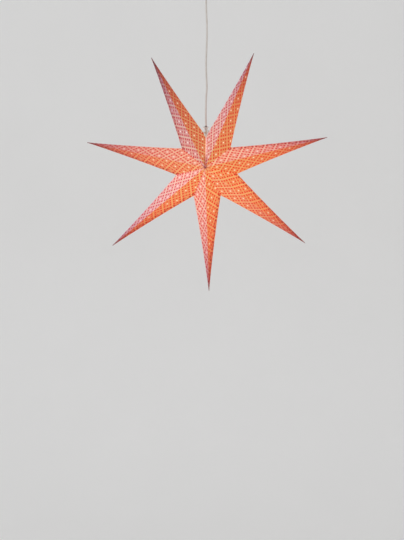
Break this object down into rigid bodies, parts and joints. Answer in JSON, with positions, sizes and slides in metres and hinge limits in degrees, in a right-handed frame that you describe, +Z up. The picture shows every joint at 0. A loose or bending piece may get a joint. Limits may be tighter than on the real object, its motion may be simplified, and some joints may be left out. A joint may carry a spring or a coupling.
{
  "type": "paper advent star",
  "caption": "Lit folded-card star with long slender points, hung by a clip and string on its lead from a ceiling cup, with a lamp holder and a round bulb inside.",
  "frame": {"origin": "middle of the ceiling cup's rim, on the ceiling plane", "axes": "+Z up, +X to the viewer's right, +Y away from the viewer, through the star from its front to its back"},
  "size_m": [0.7311, 0.1312, 0.9749],
  "materials": {
    "card": "thin printed card lit from inside: orange to salmon, plum at the tips, with a square trellis of pale bands, red dots and pierced holes",
    "string": "twisted natural cotton",
    "clear_plastic": "clear moulded plastic",
    "black_rubber": "matte",
    "lead_sleeve": "light grey flexible sleeve",
    "white_plastic": "white moulded plastic",
    "insert_plastic": "off-white, matte",
    "contact_brass": "pressed sheet",
    "bulb_glass": "opal, lit",
    "steel": "zinc plated",
    "screw_steel": "zinc plated"
  },
  "bodies": {
    "root": {"point_top_left": "card", "point_left": "card", "point_lower_left": "card", "point_bottom": "card", "point_lower_right": "card", "point_right": "card", "point_top_right": "card", "tie_string": "string", "cord_clip": "clear_plastic", "clip_ring": "black_rubber", "cord": "lead_sleeve", "cord_grip": "white_plastic", "holder_cap": "white_plastic", "holder_sleeve": "white_plastic", "holder_insert": "insert_plastic", "screw_shell": "contact_brass", "centre_contact": "contact_brass", "bulb": "bulb_glass", "ceiling_cup": "white_plastic", "cup_gland": "white_plastic", "gland_nut": "white_plastic", "ceiling_strap": "steel", "strap_screw_left": "screw_steel", "strap_screw_right": "screw_steel", "terminal_block": "insert_plastic"}
  },
  "joints": []
}
